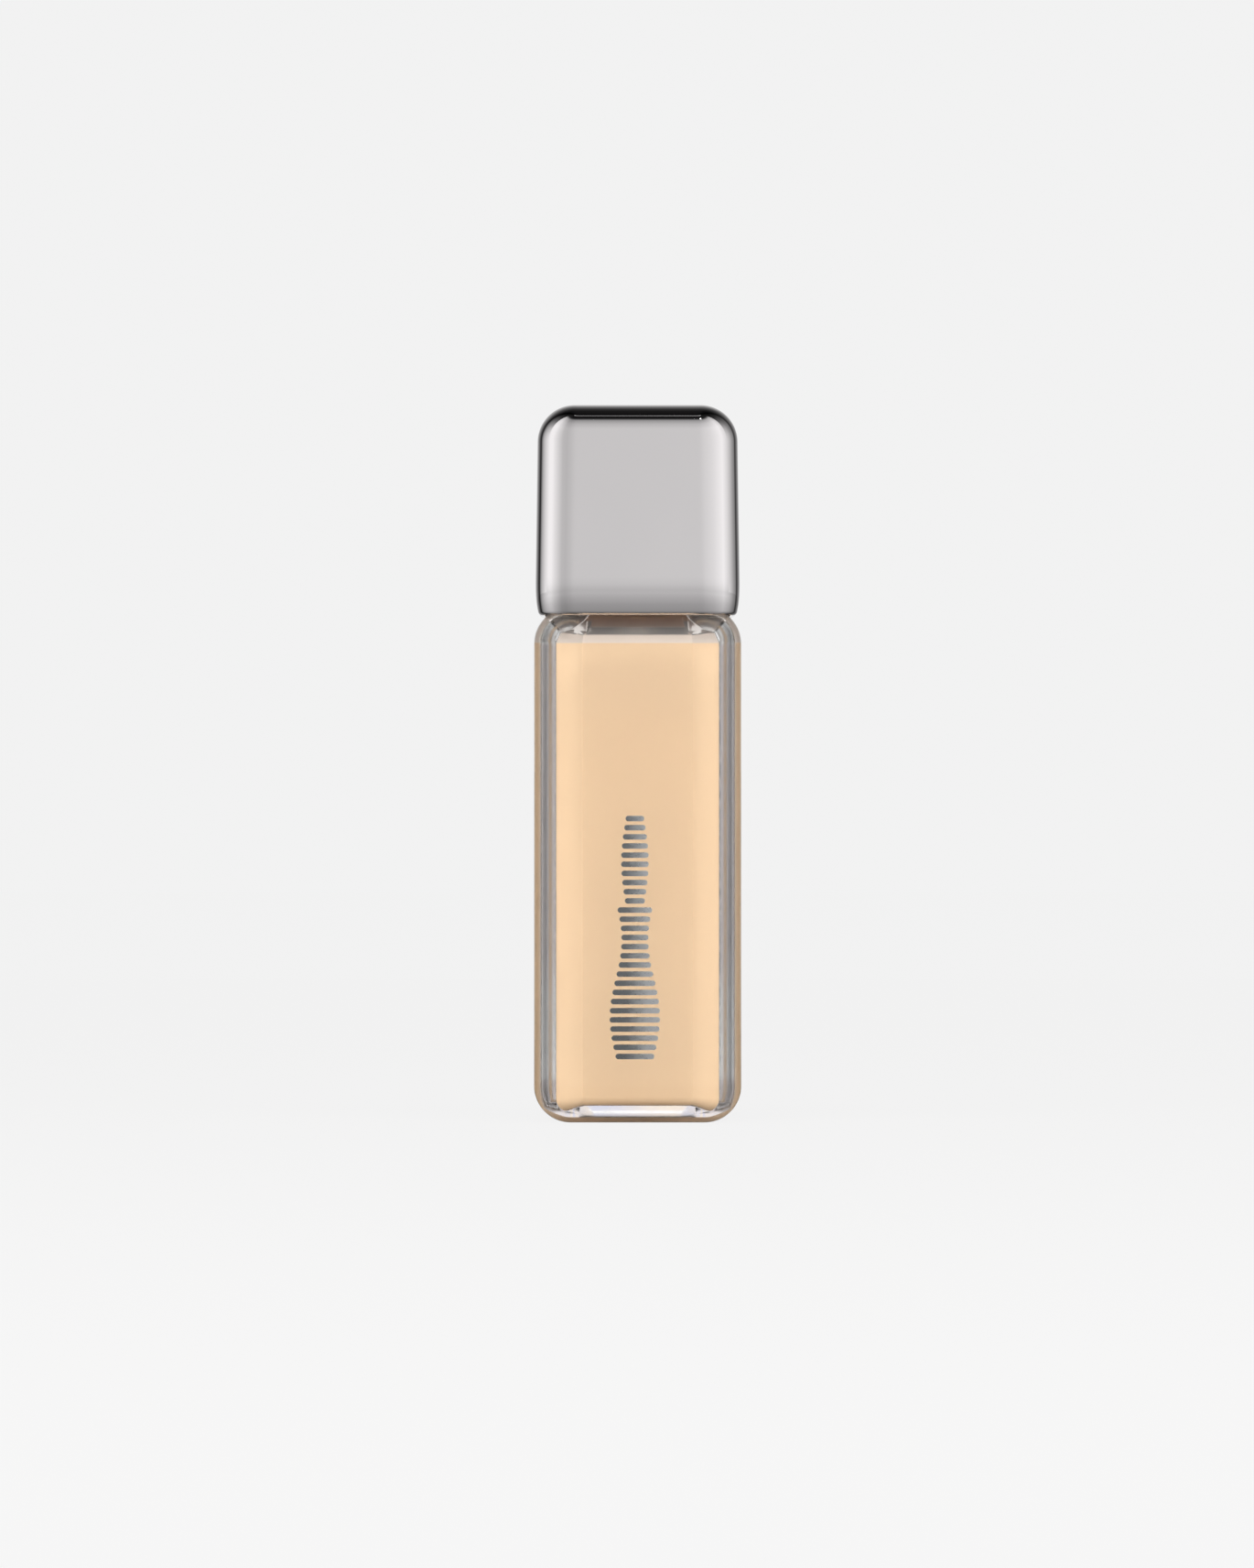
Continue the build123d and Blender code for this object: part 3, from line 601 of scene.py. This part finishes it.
# ---------------------------------------------------------------- carried-over CAD nodes
def dress_cad_nodes():
    natural = moulded_plastic("natural_plastic", (0.82, 0.81, 0.78), 0.34, 0.25)
    white = moulded_plastic("pump_white", (0.83, 0.83, 0.82), 0.22, 0.15)
    rubber = moulded_plastic("gasket_rubber", (0.70, 0.70, 0.68), 0.6)
    silver = anodised_silver()
    materials = {
        "front_decoration": hot_foil(),
        "base_label": label_film(),
        "neck_gasket": rubber,
        "pump_closure": natural,
        "collar_sleeve": silver,
        "pump_housing": natural,
        "stem_guide": natural,
        "dip_tube": natural,
        "ball_valve": bright_steel("ball_steel", 0.10, (1, 1, 1)),
        "piston_rod": natural,
        "piston": white,
        "stem": natural,
        "actuator": white,
        "actuator_shell": mirror_silver(),
        "nozzle_insert": white,
        "cap_liner": natural,
    }
    for node, material in materials.items():
        dress(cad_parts[node], material)
    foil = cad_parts["front_decoration"]
    foil.visible_transmission = False     # the thin foil throws no shadow through the glass on to the liquid
    foil.visible_diffuse = False


# ---------------------------------------------------------------- studio
BACKGROUND = 0.887
FLOOR_TONE = 0.03            # how much light falling on the floor shows; the rest of its tone is its own glow
TENT_RADIUS = 1.0
CLEAR_TENT_RADIUS = TENT_RADIUS * 1.02
FLOOR_HALF = TENT_RADIUS * 3
BOARD_HALF = TENT_RADIUS * 0.98
BOARD_DROP = 0.02 * MM
CAMERA_HEIGHT = 49.0 * MM
CAMERA_X = -1.54 * MM
CAMERA_DISTANCE = 1.40
FRONT_PLANE_Y = -10 * MM
VIEW_HEIGHT = 226.97 * MM
SENSOR = 36.0                # millimetres, as the lens length is
CLIP_END = 20.0

COOL = (0.74, 0.75, 0.88)
WARM = (1.0, 0.88, 0.76)
UMBER = (0.22, 0.15, 0.115)
UNDER_BOTTLE = (0.30, 0.20, 0.14)      # the shaded board right under the bottle, warmed by the liquid


def make_camera():
    data = bpy.data.cameras.new("camera")
    data.sensor_width = SENSOR
    data.lens = CAMERA_DISTANCE * SENSOR / VIEW_HEIGHT
    data.clip_end = CLIP_END
    camera = bpy.data.objects.new("camera", data)
    camera.location = (CAMERA_X, FRONT_PLANE_Y - CAMERA_DISTANCE, CAMERA_HEIGHT)
    camera.rotation_euler = (pi / 2, 0, 0)
    bpy.context.scene.collection.objects.link(camera)
    bpy.context.scene.camera = camera


def make_backdrop_world():
    n = Nodes("pale_backdrop", world=True)
    light = n.add("ShaderNodeBackground", {"Color": (*grey(BACKGROUND), 1)})
    out = n.add("ShaderNodeOutputWorld")
    n.tree.links.new(light.outputs[0], out.inputs["Surface"])
    bpy.context.scene.world = n.owner


def make_plane(name, half, z):
    mesh = bmesh.new()
    bmesh.ops.create_grid(mesh, x_segments=4, y_segments=4, size=half)
    data = bpy.data.meshes.new(name)
    mesh.to_mesh(data)
    mesh.free()
    plane = bpy.data.objects.new(name, data)
    plane.location.z = z
    bpy.context.scene.collection.objects.link(plane)
    return plane


def glow_only(n, colour):
    """A material that only gives light."""
    glow = n.add("ShaderNodeEmission", {"Color": colour})
    out = n.add("ShaderNodeOutputMaterial")
    n.tree.links.new(glow.outputs[0], out.inputs["Surface"])
    return n.owner


def as_light(piece, glossy, clear):
    """A light the camera never sees. It shows in mirrors only, or only through glass and on mat faces."""
    piece.visible_camera = False
    piece.visible_shadow = False
    piece.visible_glossy = glossy
    piece.visible_transmission = clear
    piece.visible_diffuse = clear


def make_floor():
    """The pale floor that the camera sees. The ground boards below it light the object."""
    floor = make_plane("floor", FLOOR_HALF, 0)
    n = Nodes("pale_floor")
    pale = n.add("ShaderNodeBsdfDiffuse", {"Color": (*grey(FLOOR_TONE), 1)})
    glow = n.add("ShaderNodeEmission", {"Color": (1, 1, 1, 1), "Strength": BACKGROUND - FLOOR_TONE})
    both = n.add("ShaderNodeAddShader", {0: pale.outputs[0], 1: glow.outputs[0]})
    out = n.add("ShaderNodeOutputMaterial")
    n.tree.links.new(both.outputs[0], out.inputs["Surface"])
    dress(floor, n.owner)
    floor.visible_glossy = False
    floor.visible_transmission = False
    floor.visible_diffuse = False
    floor.visible_shadow = False


def ring_tone(n, around, stops):
    """A tone round the azimuth. Its stops are in degrees from the front, positive towards +X."""
    return n.ramp(around, [((a + 180) / 360, grey(level)) for a, level in stops])


def tilt_tone(n, tilt, stops):
    """A tone over the tilt. Its stops are in degrees from the front horizon over the top to the back one."""
    return n.ramp(tilt, [(a / 180, grey(level)) for a, level in stops])


def make_ground_board(name, stops, ring_stops, glossy, clear):
    """A board under the floor. Its tone is a profile over the distance from the object times a ring."""
    board = make_plane(name, BOARD_HALF, -BOARD_DROP)
    n = Nodes(name)
    place = n.add("ShaderNodeTexCoord").outputs["Object"]
    away = n.add("ShaderNodeVectorMath", {0: place}, operation="LENGTH").outputs["Value"]
    tone = n.ramp(away, [(distance, grey(level)) for distance, level in stops])
    x, y, _ = n.coordinates()
    ring = ring_tone(n, n.azimuth(x, y), ring_stops)
    dress(board, glow_only(n, n.vector_maths("MULTIPLY", tone, ring)))
    as_light(board, glossy, clear)


def make_tent(name, radius, ring_stops, tilt_stops, card, glossy, clear, strips=()):
    """A light tent. Its tone is a profile round the azimuth times a profile over the tilt, plus one card,
    given as its own two profiles and its strength. Strips are two counts of narrow warm and cool bands round
    the azimuth, like the seams and edges of a real tent's panels."""
    card_ring, card_tilt, card_strength = card
    mesh = bmesh.new()
    bmesh.ops.create_icosphere(mesh, subdivisions=5, radius=radius)
    data = bpy.data.meshes.new(name)
    mesh.to_mesh(data)
    mesh.free()
    tent = bpy.data.objects.new(name, data)
    tent.location = (0, 0, CAP_TOP / 2)
    bpy.context.scene.collection.objects.link(tent)
    n = Nodes(name)
    x, y, z = n.coordinates()
    front = n.maths("MULTIPLY", y, -1.0)
    around = n.azimuth(x, y)
    flat = n.maths("SQRT", n.maths("ADD", n.maths("MULTIPLY", x, x), n.maths("MULTIPLY", y, y)))
    signed = n.maths("MULTIPLY", flat, n.maths("SIGN", front))
    tilt = n.maths("DIVIDE", n.maths("ARCTAN2", z, signed), pi)
    light = n.vector_maths("MULTIPLY", ring_tone(n, around, ring_stops), tilt_tone(n, tilt, tilt_stops))
    if strips:
        waves = [n.maths("SINE", n.maths("MULTIPLY", around, 2 * pi * count)) for count in strips]
        wave = n.span(n.maths("ADD", *waves), 0.0, 1.0, -1.2, 1.2)
        tint = n.blend(wave, (*WARM, 1), (*COOL, 1))
        light = n.vector_maths("MULTIPLY", light, tint)
    shape = n.vector_maths("MULTIPLY", ring_tone(n, around, card_ring), tilt_tone(n, tilt, card_tilt))
    glow = n.vector_maths("MULTIPLY", shape, grey(card_strength))
    dress(tent, glow_only(n, n.vector_maths("ADD", light, glow)))
    as_light(tent, glossy, clear)


MIRROR_RING = [
    (-180, 0.88), (-160, 0.58), (-148, 0.38), (-139, 0.18), (-132, 0.06), (-126, 0.02), (-120, 0.30),
    (-114, 0.62), (-96, 1.15), (-82, 1.40), (-72, 1.38), (-62, 1.18), (-51, 0.99), (-39, 0.78),
    (-27, 0.74), (-11, 0.82), (0, 0.90), (13, 1.00), (36, 1.10), (54, 1.24), (71, 1.38), (95, 0.98),
    (113, 0.52), (124, 0.34), (130, 0.06), (137, 0.12), (146, 0.28), (157, 0.42), (168, 0.70), (180, 0.88),
]
CLEAR_RING = [
    (-180, 0.95), (-150, 0.90), (-136, 0.35), (-95, 0.30), (-88, 0.60), (-64, 0.70), (-50, 0.85), (0, 1.0),
    (50, 0.85), (64, 0.70), (88, 0.60), (95, 0.30), (136, 0.35), (150, 0.90), (180, 0.95),
]


def make_mirror_surroundings():
    """What the mirror cap reflects: soft boxes at both sides, narrow dark flags behind them and overhead."""
    make_tent(
        "mirror_tent", TENT_RADIUS, MIRROR_RING,
        [(0, 0.80), (2.1, 0.92), (4.0, 1.0), (42, 1.0), (57, 0.82), (70, 0.50), (73, 0.20), (76, 0.02),
         (86.0, 0.01), (87.2, 0.75), (88.4, 0.01), (110, 0.02), (120, 0.06), (132, 0.22), (140, 0.42),
         (149, 0.70), (162, 0.90), (180, 1.0)],
        card=([(10, 0.0), (12, 1.0), (15, 1.0), (17, 0.0)],
              [(74.0, 0.0), (75.0, 1.0), (76.5, 1.0), (77.5, 0.0)], 14.0),
        glossy=True, clear=False)
    make_ground_board(
        "mirror_ground",
        [(0.0, 0.13), (0.07, 0.29), (0.147, 0.44), (0.224, 0.51), (0.353, 0.60), (0.6, 0.71), (1.0, 0.80)],
        MIRROR_RING, glossy=True, clear=False)


def make_clear_surroundings():
    """What lights the mat faces and shows through the glass: a large soft card in front, dimmer sides and a
    pale back."""
    make_tent(
        "clear_tent", CLEAR_TENT_RADIUS, CLEAR_RING,
        [(0, 1.0), (7, 1.0), (13, UMBER), (66, UMBER), (90, 0.4), (118, 0.9), (130, 1.12), (152, 1.12),
         (164, 1.0), (180, 1.0)],
        card=([(-62, 0.0), (-54, 1.0), (54, 1.0), (62, 0.0)],
              [(6, 0.0), (12, 1.0), (62, 1.0), (70, 0.0)], 3.45),
        glossy=False, clear=True, strips=(74, 121))
    make_ground_board(
        "clear_ground",
        [(0.0, UNDER_BOTTLE), (0.0148, UNDER_BOTTLE), (0.0165, 1.15), (0.05, 1.35), (0.1, 1.35), (0.25, 1.2),
         (0.5, 1.05), (1.0, 1.0)],
        CLEAR_RING, glossy=False, clear=True)


# ---------------------------------------------------------------- making it all
make_camera()
make_backdrop_world()
make_floor()
make_mirror_surroundings()
make_clear_surroundings()
make_bottle(clear_glass())
make_fill(foundation_liquid())
make_cap(mirror_silver())
make_spring(bright_steel("spring_wire", 0.22, (1, 1, 8)))
dress_cad_nodes()
bpy.context.scene.view_settings.view_transform = "Standard"
